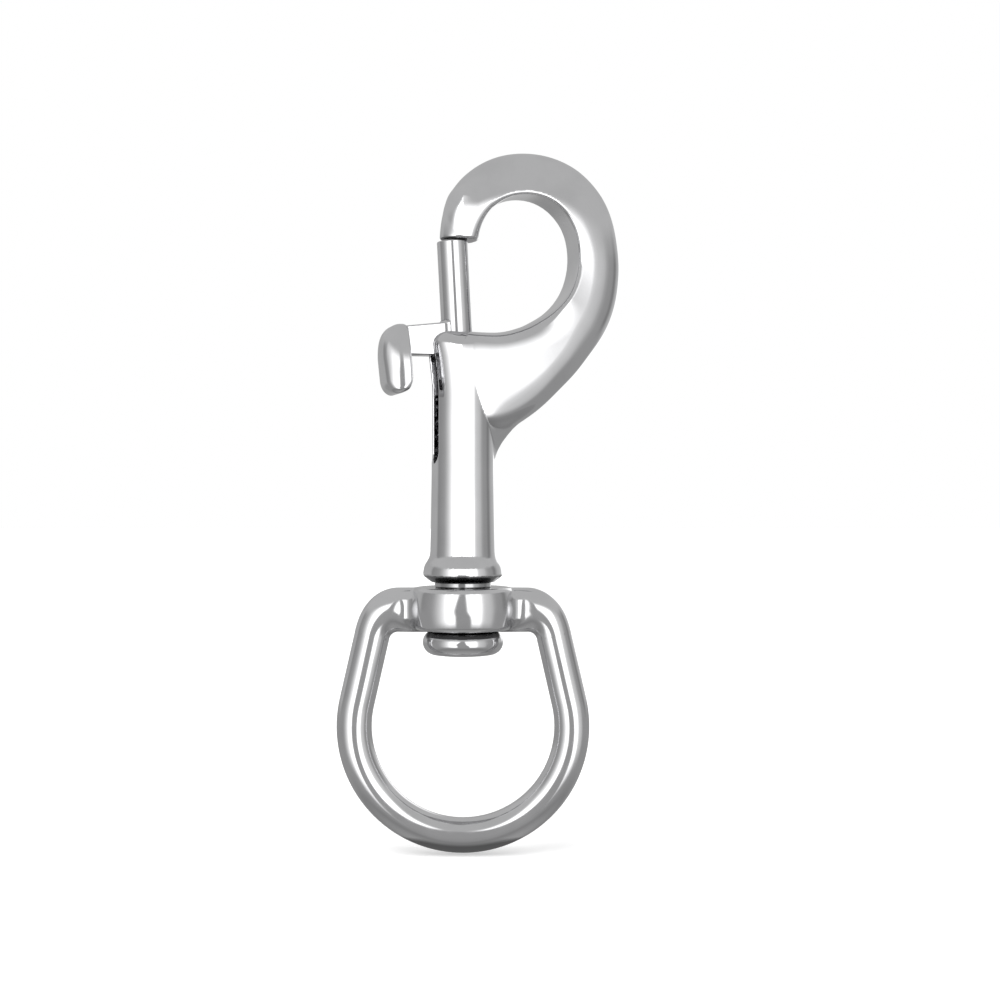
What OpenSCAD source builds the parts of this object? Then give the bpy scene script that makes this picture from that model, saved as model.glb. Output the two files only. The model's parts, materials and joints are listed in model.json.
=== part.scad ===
// Swivel-eye bolt snap: a hook closed by a spring bolt, on a free-turning webbing eye.
// Millimetres. +Z runs up the swivel axis to the hook. The origin is the centre of the
// eye's round bow, and the eye lies in the XZ plane.

/* [Webbing eye] */
// Diameter of the eye's wire
wire_d = 5; // [4.5:0.1:5.4]
// Inner diameter of the eye's round bow
bow_d = 26; // [25.4:0.2:27]
// Lean of the eye's legs towards each other
leg_lean = 12.8; // [12:0.2:14]
// Diameter of the hub that the eye turns by
hub_d = 15; // [14.4:0.2:15.6]
// Height of the hub
hub_h = 6; // [5.8:0.1:6.2]

/* [Snap body] */
// Angle that the hook is turned to, out of the eye's plane
swivel_turn = 16; // [0:1:90]
// Diameter of the barrel
barrel_d = 8.9; // [8.7:0.1:9.4]
// Height of the barrel's top, which is the hook eye's floor
barrel_top = 56; // [55.6:0.1:56.2]
// Diameter of the bell at the barrel's foot
bell_d = 11.3; // [11:0.1:12]
// Height of the hook's nose above the barrel's top
gate_gap = 13.1; // [13:0.1:13.6]

/* [Bolt] */
// Diameter of the bolt
bolt_d = 4.4; // [4.2:0.1:4.4]
// Lean of the bolt's bore towards the thumb lever
bolt_lean = 3.1; // [2.6:0.1:3.4]
// Distance that the bolt slides to open the hook
bolt_travel = 13.5; // [13.2:0.1:13.6]
// Radial clearance of the bolt in its bore
slide_gap = 0.07; // [0.05:0.01:0.1]

/* [Thumb lever] */
// Thickness of the lever's neck, across the barrel's slot
neck_w = 3.1; // [2.8:0.1:3.2]
// Height of the lever's neck
neck_h = 4.5; // [4.2:0.05:4.6]
// Radius of the tab's rounded thumb face
tab_r = 3.65; // [3.4:0.05:3.8]
// Height of the tab
tab_h = 9.7; // [9:0.1:10.2]

/* [Swivel and spring] */
// Diameter of the stud's shank
stud_d = 6.2; // [6.2:0.1:6.4]
// Diameter of the stud's head
stud_head_d = 11.4; // [11:0.1:12]
// Radial clearance of the hub on the stud
swivel_gap = 0.08; // [0.04:0.01:0.1]
// Outer diameter of the thrust washer
washer_d = 8; // [7.8:0.1:8.2]
// Diameter of the spring's wire
spring_wire_d = 0.5; // [0.4:0.05:0.55]
// Number of turns in the spring
spring_turns = 12; // [10:1:13]

/* [Hidden] */
$fn = 64;
seam = 0.01;            // gap between pieces that are pressed together
rest_gap = 0.05;        // end play between pieces that slide over each other

wire_r = wire_d / 2;
bow_r = bow_d / 2;
hub_r = hub_d / 2;
hub_foot = 13.8;
hub_top = hub_foot + hub_h;
hub_edge = 0.5;         // rounding of the hub's rims
arm_depth = 2.3;        // half thickness of the arms where they leave the hub
shoulder_r = 1.3;       // inner radius of the bend between an arm and a leg
leg_offset = bow_r - shoulder_r;
shoulder_x = 9.24;
shoulder_z = (leg_offset - shoulder_x * cos(leg_lean)) / sin(leg_lean);
arm_drop = 0.05;        // the arms' top edge lies this far below the hub's top
arm_rise = 0.1;         // inside the hub, the arms' lower edge lies this far above its foot
arm_square = 5;         // squareness of the arms' sections, where 2 is round

washer_foot = hub_top + rest_gap;
bell_foot = hub_top + 0.75;
bell_rim = bell_foot + 1.05;
bell_dome_r = 2.65;
barrel_r = barrel_d / 2;
barrel_taper_top = 36;  // the barrel is straight above this height
barrel_foot_r = barrel_r + 0.2;
top_edge = 1.8;         // rounding of the barrel's top rim
seat_z = 26;            // top of the stud, where the spring stands
nose_z = barrel_top + gate_gap;
nose_side = 3.5;        // the nose's gap is open from this far right of the barrel's axis
mouth_rise = 4;         // the nose's gap starts this far above the barrel's top
cut_reach = 20;         // length of a cut that runs clear of the body
foot_flare_h = 5;       // height over which the barrel narrows above its bell

pivot_z = 40;           // height at which the leaning bore crosses the barrel's axis
bolt_r = bolt_d / 2;
bore_r = bolt_r + slide_gap;
bolt_tip = nose_z - pivot_z - 0.15;
bolt_foot = 7.5;
guide_r = 1.3;          // spigot that keeps the spring straight
guide_l = 3;
tip_edge = 0.3;
bore_foot = -15;        // foot of the bolt's bore, below the crossing
bore_h = 33;

slot_w = neck_w + 0.3;
neck_foot = 12.95;
slot_foot = neck_foot - bolt_travel - 0.2;
tab_x = -8.1;           // axis of the tab's rounded face
tab_flat = 0.6;         // distance from that axis to the tab's flat back
tab_foot = neck_foot + neck_h - tab_h;
tab_top_in = 3.2;       // width and height of the long round at the tab's outer top corner
tab_top_down = 4.7;
tab_heel = 2.2;         // rounding of the tab's outer foot
tab_toe_in = 1.6;       // width and height of the cut at the tab's inner foot
tab_toe_up = 1.3;
tenon_r = 1.2;
tenon_root = 1;         // the neck reaches this near to the bolt's axis before it is hollowed

stud_r = stud_d / 2;
stud_head_r = stud_head_d / 2;
head_top = hub_foot - rest_gap;
head_foot = 10.2;
head_edge = 1.5;

spring_r = 1.75;        // radius of the coil's centreline
spring_foot = (seat_z - pivot_z) / cos(bolt_lean) + 0.15;
spring_head = bolt_foot - 0.02;
spring_sides = 8;
spring_steps = 16;      // rings in each turn

// The hook is a fan of sections about the middle of its eye. Each row is the angle of a
// section, its inner and outer radius, half its thickness, and how square it is.
hook_x = 7.5;
hook_z = 66.5;
hook_rows = [
    [178, 5.3, 10.7, 2.6, 2.1],
    [160, 5.75, 11.4, 2.65, 2.1],
    [145, 6.45, 12.4, 2.72, 2.1],
    [130, 7.25, 13.5, 2.8, 2.2],
    [110, 8.35, 14.5, 2.85, 2.3],
    [90, 9.15, 15.4, 2.85, 2.3],
    [70, 9.7, 16.2, 2.9, 2.3],
    [50, 9.85, 16.75, 2.95, 2.3],
    [30, 9.6, 16.5, 3, 2.3],
    [10, 9.05, 15.9, 3.05, 2.3],
    [-10, 8.8, 16.05, 3.1, 2.3],
    [-30, 8.8, 16.75, 3.2, 2.4],
    [-50, 8.8, 17.45, 3.4, 2.6],
    [-70, 8.95, 19.5, 3.7, 3],
    [-90, 9.75, 23.6, 4.05, 3.6],
    [-104, 10.75, 27.6, 4.25, 3.8],
    [-116, 11.6, 24.5, 4.3, 3.8]
];
section_sides = 28;
hook_step = 6;          // degrees between the sections of the hook
shoulder_steps = 8;     // sections round each of the eye's shoulders

// Smooth curve through four values, from the second at t = 0 to the third at t = 1
function smooth(a, b, c, d, t) =
    b + t * ((c - a) + t * ((2 * a - 5 * b + 4 * c - d) + t * (3 * b - a - 3 * c + d))) / 2;

// Row of the hook between row i and the next one
function hook_row(i, t) =
    let (last = len(hook_rows) - 1)
    let (a = hook_rows[max(i - 1, 0)], b = hook_rows[i])
    let (c = hook_rows[i + 1], d = hook_rows[min(i + 2, last)])
    [for (k = [0 : 4]) smooth(a[k], b[k], c[k], d[k], t)];

// A section stands on a ray from a centre in the XZ plane, from radius r_in to r_out
function ray_section(cx, cz, angle, r_in, r_out, depth, square) =
    let (middle = (r_in + r_out) / 2, half = (r_out - r_in) / 2)
    [for (i = [0 : section_sides - 1])
        let (turn = 360 * i / section_sides, c = cos(turn), s = sin(turn))
        let (r = middle + half * sign(c) * pow(abs(c), 2 / square))
        [cx + r * cos(angle), depth * sign(s) * pow(abs(s), 2 / square), cz + r * sin(angle)]];

// Solid through a chain of sections with the same number of points
module loft(sections) {
    n = len(sections[0]);
    rings = len(sections);
    sides = [for (k = [0 : rings - 2], i = [0 : n - 1])
        [k * n + i, k * n + (i + 1) % n, (k + 1) * n + (i + 1) % n, (k + 1) * n + i]];
    start = [[for (i = [n - 1 : -1 : 0]) i]];
    finish = [[for (i = [0 : n - 1]) (rings - 1) * n + i]];
    polyhedron(points = [for (s = sections) each s], faces = concat(start, sides, finish));
}

function blend(a, b, t) = a + (b - a) * t;

// The eye's wire from inside the hub, out along one arm, down a leg and half round the bow
function eye_half() =
    let (arm_top = hub_top - arm_drop, bend_out = shoulder_r + wire_d, bow_steps = 14)
    concat(
        [for (x = [2, 6])
            ray_section(x, 0, 90, hub_foot + arm_rise, arm_top, arm_depth, arm_square)],
        [for (i = [0 : shoulder_steps])
            let (t = i / shoulder_steps, angle = blend(90, leg_lean, t))
            let (r_out = blend(arm_top - shoulder_z, bend_out, t))
            let (square = blend(arm_square, 2, min(1, 1.6 * t)), depth = blend(arm_depth, wire_r, t))
            ray_section(shoulder_x, shoulder_z, angle, shoulder_r, r_out, depth, square)],
        [for (i = [0 : bow_steps - 1])
            ray_section(0, 0, blend(leg_lean, -90, i / bow_steps), bow_r, bow_r + wire_d, wire_r, 2)]);

function mirrored(section) = [for (p = section) [-p[0], p[1], p[2]]];

module eye_wire() {
    half = eye_half();
    bottom = ray_section(0, 0, -90, bow_r, bow_r + wire_d, wire_r, 2);
    others = [for (i = [len(half) - 1 : -1 : 0]) mirrored(half[i])];
    loft(concat(half, [bottom], others));
}

// Upright round solid with both rims rounded
module rounded_disc(radius, foot, top, edge) {
    rotate_extrude() {
        translate([0, foot]) square([radius - edge, top - foot]);
        translate([0, foot + edge]) square([radius, top - foot - 2 * edge]);
        for (z = [foot + edge, top - edge]) {
            translate([radius - edge, z]) circle(edge);
        }
    }
}

module swivel_eye() {
    color("lightgray") difference() {
        union() {
            eye_wire();
            rounded_disc(hub_r, hub_foot, hub_top, hub_edge);
        }
        translate([0, 0, hub_foot - 2]) cylinder(r = stud_r + swivel_gap, h = hub_h + 4);
    }
}

module swivel_stud() {
    color("silver") union() {
        rounded_disc(stud_head_r, head_foot, head_top, head_edge);
        translate([0, 0, head_top - 1]) cylinder(r = stud_r, h = seat_z - head_top + 1);
    }
}

module thrust_washer() {
    color("gainsboro") difference() {
        translate([0, 0, washer_foot]) cylinder(r = washer_d / 2, h = bell_foot - seam - washer_foot);
        translate([0, 0, washer_foot - 1]) cylinder(r = stud_r + 2 * seam, h = 3);
    }
}

// Places what moves with the hook: it is turned on the swivel
module on_hook() {
    rotate([0, 0, swivel_turn]) children();
}

// Places what lies along the leaning bore, with z = 0 where it crosses the barrel's axis
module on_bore() {
    on_hook() translate([0, 0, pivot_z]) rotate([0, -bolt_lean, 0]) children();
}

module hook() {
    sections = [for (i = [0 : len(hook_rows) - 2])
        let (span = hook_rows[i][0] - hook_rows[i + 1][0], steps = ceil(span / hook_step))
        for (j = [0 : steps - 1])
            let (row = hook_row(i, j / steps))
            ray_section(hook_x, hook_z, row[0], row[1], row[2], row[3], row[4])];
    end = hook_rows[len(hook_rows) - 1];
    loft(concat(sections, [ray_section(hook_x, hook_z, end[0], end[1], end[2], end[3], end[4])]));
}

module barrel() {
    bell_x = bell_d / 2 - bell_dome_r;
    rotate_extrude() {
        polygon([
            [0, bell_foot], [barrel_foot_r, bell_foot], [bell_d / 2 - 0.3, bell_rim - 0.5],
            [bell_d / 2, bell_rim], [bell_x, bell_rim + 1], [0, bell_rim + 1]
        ]);
        intersection() {
            translate([bell_x, bell_rim]) circle(bell_dome_r);
            translate([0, bell_rim]) square(bell_d);
        }
        polygon([
            [0, bell_rim], [barrel_foot_r, bell_rim], [barrel_foot_r, bell_rim + foot_flare_h],
            [barrel_r, barrel_taper_top], [barrel_r, barrel_top - top_edge],
            [0, barrel_top - top_edge]
        ]);
        translate([0, bell_rim]) square([barrel_r - top_edge, barrel_top - bell_rim]);
        translate([barrel_r - top_edge, barrel_top - top_edge]) circle(top_edge);
    }
}

module snap_body() {
    color("silver") difference() {
        on_hook() difference() {
            union() {
                hook();
                barrel();
            }
            translate([nose_side - cut_reach, -cut_reach / 2, barrel_top + mouth_rise]) {
                cube([cut_reach, cut_reach, gate_gap - mouth_rise]);
            }
            translate([0, 0, bell_foot - 1]) cylinder(r = stud_r + seam, h = seat_z - bell_foot + 1);
        }
        on_bore() {
            translate([0, 0, bore_foot]) cylinder(r = bore_r, h = bore_h);
            translate([-cut_reach, -slot_w / 2, slot_foot]) cube([cut_reach, slot_w, cut_reach]);
            translate([0, 0, slot_foot]) rotate([0, -90, 0]) cylinder(r = slot_w / 2, h = cut_reach);
        }
    }
}

module bolt() {
    color("gainsboro") on_bore() difference() {
        union() {
            translate([0, 0, bolt_foot]) cylinder(r = bolt_r, h = bolt_tip - bolt_foot - tip_edge);
            translate([0, 0, bolt_tip - tip_edge]) {
                cylinder(r1 = bolt_r, r2 = bolt_r - tip_edge, h = tip_edge);
            }
            translate([0, 0, bolt_foot - guide_l]) cylinder(r = guide_r, h = guide_l + 1);
        }
        translate([-bolt_d, 0, neck_foot + neck_h / 2]) rotate([0, 90, 0]) {
            cylinder(r = tenon_r + seam, h = 2 * bolt_d);
        }
    }
}

// Side outline of the tab: a long round over the top outer corner, and its foot cut in
module tab_outline() {
    left = tab_x - tab_r;
    right = tab_x + tab_flat;
    top = tab_foot + tab_h;
    turns = [0 : 7.5 : 90];
    polygon(concat(
        [for (turn = turns)
            [left + tab_heel * (1 - cos(turn)), tab_foot + tab_heel * (1 - sin(turn))]],
        [[right - tab_toe_in, tab_foot], [right, tab_foot + tab_toe_up], [right, top]],
        [for (turn = turns)
            [left + tab_top_in * (1 - sin(turn)), top - tab_top_down * (1 - cos(turn))]]));
}

module thumb_lever() {
    color("darkgray") on_bore() union() {
        intersection() {
            translate([tab_x, 0, tab_foot]) cylinder(r = tab_r, h = tab_h);
            translate([0, tab_r, 0]) rotate([90, 0, 0]) linear_extrude(2 * tab_r) tab_outline();
        }
        difference() {
            translate([tab_x, -neck_w / 2, neck_foot]) {
                cube([-tab_x - tenon_root, neck_w, neck_h]);
            }
            cylinder(r = bolt_r + seam, h = bolt_tip);
        }
        translate([tab_x, 0, neck_foot + neck_h / 2]) rotate([0, 90, 0]) {
            cylinder(r = tenon_r, h = bolt_r - tip_edge - tab_x);
        }
    }
}

// Height of the spring's wire after a number of turns: the end turns lie closed
function coil_z(turns) =
    let (closed = 1.04 * spring_wire_d, low = spring_foot + spring_wire_d / 2)
    let (high = spring_head - spring_wire_d / 2)
    let (pitch = (high - low - 2 * closed) / (spring_turns - 2))
    turns < 1 ? low + turns * closed
    : turns > spring_turns - 1 ? high - (spring_turns - turns) * closed
    : low + closed + (turns - 1) * pitch;

module bolt_spring() {
    rings = spring_turns * spring_steps;
    color("slategray") on_bore() loft([for (k = [0 : rings])
        let (turn = 360 * k / spring_steps, z = coil_z(k / spring_steps))
        [for (i = [0 : spring_sides - 1])
            let (around = 360 * i / spring_sides)
            let (r = spring_r + spring_wire_d / 2 * cos(around))
            [r * cos(turn), r * sin(turn), z + spring_wire_d / 2 * sin(around)]]]);
}

swivel_eye();
swivel_stud();
thrust_washer();
snap_body();
bolt();
thumb_lever();
bolt_spring();
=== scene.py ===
"""Swivel-eye bolt snap: the visual model on the CAD frame.

Lengths are in millimetres. On the stage and in the materials they are in metres.
"""
import json
import math

import bpy
import numpy as np
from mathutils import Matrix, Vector


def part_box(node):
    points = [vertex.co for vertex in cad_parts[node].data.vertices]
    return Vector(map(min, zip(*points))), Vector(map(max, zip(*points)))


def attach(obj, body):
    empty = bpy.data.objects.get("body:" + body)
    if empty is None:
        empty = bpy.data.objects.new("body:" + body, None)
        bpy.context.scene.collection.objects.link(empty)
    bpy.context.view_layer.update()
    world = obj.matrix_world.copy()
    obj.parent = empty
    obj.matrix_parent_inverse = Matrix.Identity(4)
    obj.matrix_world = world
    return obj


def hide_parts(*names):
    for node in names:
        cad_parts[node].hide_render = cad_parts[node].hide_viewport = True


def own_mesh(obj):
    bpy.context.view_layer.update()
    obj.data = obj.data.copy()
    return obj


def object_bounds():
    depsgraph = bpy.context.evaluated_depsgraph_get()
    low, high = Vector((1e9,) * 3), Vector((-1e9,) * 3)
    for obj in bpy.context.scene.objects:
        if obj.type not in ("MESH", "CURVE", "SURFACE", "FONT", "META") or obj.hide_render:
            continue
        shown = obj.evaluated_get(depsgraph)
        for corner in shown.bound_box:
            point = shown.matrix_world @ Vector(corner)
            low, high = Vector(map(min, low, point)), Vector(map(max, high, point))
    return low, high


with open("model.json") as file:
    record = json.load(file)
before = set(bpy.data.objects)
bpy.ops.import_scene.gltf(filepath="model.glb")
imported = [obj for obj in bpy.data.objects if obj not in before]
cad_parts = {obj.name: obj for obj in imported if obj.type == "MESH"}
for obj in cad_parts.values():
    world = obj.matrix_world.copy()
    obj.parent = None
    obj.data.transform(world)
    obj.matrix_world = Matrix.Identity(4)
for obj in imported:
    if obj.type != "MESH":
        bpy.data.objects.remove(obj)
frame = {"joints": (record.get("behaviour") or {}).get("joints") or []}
CAD_BOUNDS = [list(corner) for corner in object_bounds()]

MM = 0.001

# Corners of the CAD pieces' boxes, which some of the sizes below follow
EYE_LOW, EYE_HIGH = [np.array(c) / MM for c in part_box("swivel_eye")]
STUD_LOW, STUD_HIGH = [np.array(c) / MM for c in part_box("swivel_stud")]
BODY_LOW, BODY_HIGH = [np.array(c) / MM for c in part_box("snap_body")]
WASHER_LOW, WASHER_HIGH = [np.array(c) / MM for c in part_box("thrust_washer")]
SLIDE = next(j for j in frame["joints"] if j["name"] == "bolt_slide")
SLIDE_AXIS = np.array(SLIDE["axis"], float)
TURN = math.atan2(SLIDE_AXIS[1], SLIDE_AXIS[0])
LEAN = math.acos(min(1.0, abs(SLIDE_AXIS[2])))

WIRE_R = 2.5
BOW_R = EYE_HIGH[0] - WIRE_R
LEG_LEAN = math.radians(12.8)
HUB_R = 7.5
HUB_TOP = EYE_HIGH[2]
HUB_FOOT = HUB_TOP - 6.0
HUB_EDGE = 0.6
HUB_BELLY = 0.42        # how far the hub's side draws in at its rims
HUB_BORE_R = 3.18
BOW_GAP_Z = 5.0         # the hub's bore is cut down to here, in the open middle of the bow
HUB_ROUND = 0.2
SHOULDER_X = 9.24
SHOULDER_Z = 12.14
SHOULDER_IN = 1.3
ARM_TOP = HUB_TOP - 0.05
ARM_THIN = 0.45         # the arm is flatter and squarer near the hub
ARM_SQUARE = 1.2
ARM_THIN_X = 10.4
ARM_THIN_SPAN = 3.2
ARM_FILLET = 1.6
ARM_FILLET_LEAST = 0.15
ARM_FILLET_SPAN = 0.6

BELL_FOOT = BODY_LOW[2]
BELL_EDGE = 0.05
BARREL_TOP = 56.0
TOP_ROUND = 2.0
BARREL_R = 4.45
WIDEN = 0.75            # the barrel's top is wider on the lever's side, round the leaning bore
WIDEN_Z = 47.0
WIDEN_SPAN = 9.0
# Heights above the bell's foot, and the barrel's radius at each
BELL_HEIGHTS = [-9.0, 0.0, 0.04, 0.74, 0.86, 1.02, 1.2, 1.7, 2.1, 2.35, 2.65, 3.05, 3.45, 3.85, 4.3, 6.5,
                15.5, 30, 99]
BELL_RADII = [4.4, 4.4, 4.5, 5.42, 5.54, 5.64, 5.67, 5.62, 5.54, 5.46, 5.31, 5.05, 4.83, 4.71, 4.66, 4.6,
              BARREL_R, BARREL_R, BARREL_R]
PIVOT_Z = 40.0
BORE_R = 2.27
CHAMBER_FOOT = STUD_HIGH[2]
OPENING_TOP = 60.0      # bore and slot are cut up to here, in the open mouth
SLOT_HALF = 1.7
SLOT_FOOT = -0.75
OPENING_EDGE = 0.27
MOUTH_Z = 58.0          # the mouth is cut between here and the nose
NOSE_Z = 69.1
NOSE_X = 4.0
NOSE_ROUND = 0.45
NOSE_MIDDLE = -0.45
NOSE_BOSS_R = 2.68
NOSE_BOSS_TOP = 77.0
NOSE_BOSS_FOOT = 66.0
NOSE_BOSS_EDGE = 1.5
NOSE_BOSS_ROUND = 2.0
NOSE_BOSS_FILLET = 0.7  # grows with height
NOSE_FILLET_Z = 70.0
NOSE_FILLET_SPAN = 4.0
CROTCH_FILLET = 5.2     # between blade and barrel, on the hook's side and near its middle plane
CROTCH_TOP = 49.0
CROTCH_RISE = 8.0
CROTCH_HALF = 3.6
CROTCH_FADE = 2.8
CROTCH_SIDE = 2.0
INNER_DROP = 0.56
INNER_FULL = 1.2
FLOOR_EASE = 4.2        # the blade and barrel lean back towards the eye's floor
FLOOR_DROP = 0.62
FLOOR_FROM = -35.0      # degrees, where that starts on the way round the hook's eye
FLOOR_FADE = 40.0
FLOOR_X = 5.0           # from here to the barrel's axis the floor turns into the barrel's flat top
FLOOR_X_FADE = 4.0
BLADE_SIDE_FADE = 0.6   # of the barrel's radius, from the lever's side

STUD_R = 5.72
STUD_SHANK_R = 3.1
STUD_FACE_R = 3.0       # the head's lower face falls from its rim to here, and on to its middle
STUD_DOME = 0.12
STUD_RIM = 0.1
STUD_ROUND = 1.75
STUD_TOP_ROUND = 1.7
WASHER_R = 4.0
WASHER_BORE_R = 3.12
AXIS_R = 0.02           # a turned part's end stops this short of its axis

BOLT_R = 2.2
BOLT_TIP = 28.95
BOLT_FOOT = 7.5
GUIDE_R = 1.3
GUIDE_L = 3.0

NECK_HALF = 1.55
NECK_FOOT = 12.95
NECK_TOP = 17.45
NECK_TOP_DROP = 0.02
NECK_TOP_SLOPE = 0.062
NECK_FOOT_SLOPE = 0.05
NECK_LEVEL_X = -6.0     # where the neck's foot is at its own height
NECK_END_X = -0.8
NECK_EDGE = 0.22
NECK_FLARE = 0.6        # where the neck meets the bolt
NECK_FLARE_REACH = 1.0
BOLT_CLEAR = 0.02       # kept between the lever and the bolt's face
TAB_X = -8.1
TAB_R = 3.65
TAB_FLAT = 0.6
TAB_FOOT = 7.5
TAB_TOP = 17.35
TAB_FACE_OUT = 0.15     # how far the plan's oval reaches past the tab's outer edge
TAB_WAIST = 10.5        # above here the tab grows narrower
TAB_DRAW = 0.035
TAB_HALF_LEAST = 1.0
TAB_FOOT_RISE = 5.0     # up to here above its foot the tab's side draws in downwards
TAB_FOOT_DRAW = 0.10
TAB_FOOT_ROUND = 2.0
TAB_FACE_ROUND = 0.4
TAB_EDGE = 0.9
TAB_FILLET = 0.15       # between tab and neck
TOE_IN = 1.1
TOE_UP = 1.0
TOE_ROUND = 0.8
CORNER_X = 3.2
CORNER_Z = 4.7

SPRING_R = 1.75
SPRING_WIRE_R = 0.25
SPRING_TURNS = 12
SPRING_FOOT_GAP = 0.1
SPRING_TOP_GAP = 0.02
SPRING_FOOT_RISE = 0.3  # height of the first turn's middle above the spring's seat
CLOSED_PITCH = 1.04     # of the wire's diameter

HOOK_X = 7.5
HOOK_Z = 66.5
# Angle, inner radius, outer radius, half thickness, radius of the inner crease,
# width of the slope inside the thickest line, width of the round outside it, squareness
HOOK_ROWS = np.array([
    [178, 5.3, 10.7, 2.60, 2.0, 2.70, 2.70, 2.05],
    [160, 5.75, 11.4, 2.65, 1.7, 2.60, 3.00, 2.05],
    [145, 6.45, 12.4, 2.72, 1.3, 2.40, 3.60, 2.05],
    [130, 7.25, 13.5, 2.80, 1.0, 1.80, 4.60, 2.05],
    [115, 8.05, 14.25, 2.85, 0.7, 1.10, 6.00, 2.05],
    [100, 8.8, 15.0, 2.85, 0.5, 0.50, 7.20, 2.05],
    [85, 9.3, 15.6, 2.85, 0.42, 0.25, 7.60, 2.05],
    [70, 9.7, 16.2, 2.90, 0.4, 0.20, 7.70, 2.05],
    [55, 9.85, 16.65, 2.95, 0.4, 0.30, 7.60, 2.05],
    [35, 9.65, 16.6, 3.0, 0.55, 0.60, 6.40, 2.05],
    [10, 9.05, 15.9, 3.05, 0.5, 0.80, 5.20, 2.05],
    [-10, 8.8, 16.05, 3.1, 0.5, 0.80, 5.00, 2.05],
    [-30, 8.8, 16.75, 3.2, 0.6, 0.80, 5.10, 2.05],
    [-50, 8.8, 17.45, 3.4, 0.9, 0.70, 5.00, 2.10],
    [-70, 8.95, 19.5, 3.7, 1.4, 0.60, 4.60, 2.15],
    [-90, 9.75, 23.6, 4.05, 1.8, 0.60, 5.40, 2.20],
    [-104, 10.75, 27.6, 4.3, 1.8, 0.60, 7.40, 2.20],
    [-116, 11.6, 24.5, 4.4, 1.8, 0.60, 7.00, 2.20],
    [-125, 12.73, 20.0, 4.4, 1.8, 0.60, 5.00, 2.20],
])[::-1]
HOOK_END = -125.0
HOOK_SEAM = -149.0      # degrees, where the angle about the hook's eye starts again
BLADE_FROM = 10.0       # degrees, where the hook's section starts turning into the blade's
BLADE_FADE = 60.0
BLADE_TAPER = 0.065
BLADE_ROOT = 0.3
HOOK_SMOOTH = 5.0       # degrees
TABLE_STEP = 0.25       # degrees
LEAST_FILLET = 0.02


# ---------------------------------------------------------------- fields

def length(*parts):
    return np.sqrt(sum(p * p for p in parts))


def step_between(t):
    """Smooth step from 0 to 1."""
    t = np.clip(t, 0.0, 1.0)
    return t * t * (3.0 - 2.0 * t)


def round_max(a, b, r):
    """Intersection of two solids with its edge rounded."""
    return np.minimum(-r, np.maximum(a, b)) + length(np.maximum(r + a, 0), np.maximum(r + b, 0))


def round_min(a, b, r):
    """Union of two solids with a fillet."""
    return -round_max(-a, -b, r)


def soft_min(a, b, r):
    """Union whose fillet fades in gently."""
    h = np.clip(0.5 + 0.5 * (b - a) / r, 0.0, 1.0)
    return b * (1 - h) + a * h - r * h * (1 - h)


def bar(value, low, high):
    return np.maximum(low - value, value - high)


def oval(u, v, a, b, n):
    """Near distance to a superellipse with half widths a and b."""
    s = np.abs(u) / a
    t = np.abs(v) / b
    q = (s ** n + t ** n + 1e-12) ** (1.0 / n)
    ds = (s / q) ** (n - 1) / a
    dt = (t / q) ** (n - 1) / b
    return (q - 1.0) / np.maximum(length(ds, dt), 1e-6)


def lathe_field(radius, z, heights, radii):
    """Solid of revolution whose radius is given at heights."""
    r = np.interp(z, heights, radii)
    slope = (np.interp(z + 0.05, heights, radii) - np.interp(z - 0.05, heights, radii)) / 0.1
    return (radius - r) / np.sqrt(1.0 + slope * slope)


def dense_table(rows, smooth):
    """Rows interpolated at fine steps and smoothed."""
    angles = np.arange(rows[0, 0], rows[-1, 0] + TABLE_STEP, TABLE_STEP)
    reach = int(3 * smooth / TABLE_STEP)
    kernel = np.exp(-0.5 * (np.arange(-reach, reach + 1) * TABLE_STEP / smooth) ** 2)
    kernel /= kernel.sum()
    columns = []
    for k in range(1, rows.shape[1]):
        line = np.interp(angles, rows[:, 0], rows[:, k])
        first = 2 * line[0] - line[reach:0:-1]
        last = 2 * line[-1] - line[-2:-reach - 2:-1]
        columns.append(np.convolve(np.concatenate([first, line, last]), kernel, "valid"))
    return angles, columns


HOOK_ANGLES, HOOK_COLUMNS = dense_table(HOOK_ROWS, HOOK_SMOOTH)


def to_hook(p):
    """World point to the hook's own frame, before it is turned on the swivel."""
    c, s = math.cos(TURN), math.sin(TURN)
    return np.stack([c * p[:, 0] + s * p[:, 1], -s * p[:, 0] + c * p[:, 1], p[:, 2]], axis=1)


def from_hook(p):
    c, s = math.cos(TURN), math.sin(TURN)
    return np.stack([c * p[:, 0] - s * p[:, 1], s * p[:, 0] + c * p[:, 1], p[:, 2]], axis=1)


def hook_to_bore(p):
    """Hook frame to the leaning bore's frame, whose origin lies on the barrel's axis."""
    c, s = math.cos(LEAN), math.sin(LEAN)
    z = p[:, 2] - PIVOT_Z
    return np.stack([c * p[:, 0] + s * z, p[:, 1], -s * p[:, 0] + c * z], axis=1)


def bore_to_hook(p):
    c, s = math.cos(LEAN), math.sin(LEAN)
    return np.stack([c * p[:, 0] - s * p[:, 2], p[:, 1], s * p[:, 0] + c * p[:, 2] + PIVOT_Z], axis=1)


def round_hook(p):
    """Radius and angle about the middle of the hook's eye."""
    dx = p[:, 0] - HOOK_X
    dz = p[:, 2] - HOOK_Z
    angle = np.degrees(np.arctan2(dz, dx))
    return length(dx, dz), np.where(angle < HOOK_SEAM, angle + 360.0, angle)


def floor_drop(p):
    """How far the sides draw in near the floor of the hook's eye."""
    ring, angle = round_hook(p)
    in_ring = ring - np.interp(angle, HOOK_ANGLES, HOOK_COLUMNS[0])
    flat = step_between((FLOOR_X - p[:, 0]) / FLOOR_X_FADE)
    depth = in_ring + flat * (BARREL_TOP - p[:, 2] - in_ring)
    near = np.clip(1.0 - depth / FLOOR_EASE, 0.0, 1.0) ** 2
    return FLOOR_DROP * near * step_between((FLOOR_FROM - angle) / FLOOR_FADE)


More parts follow.
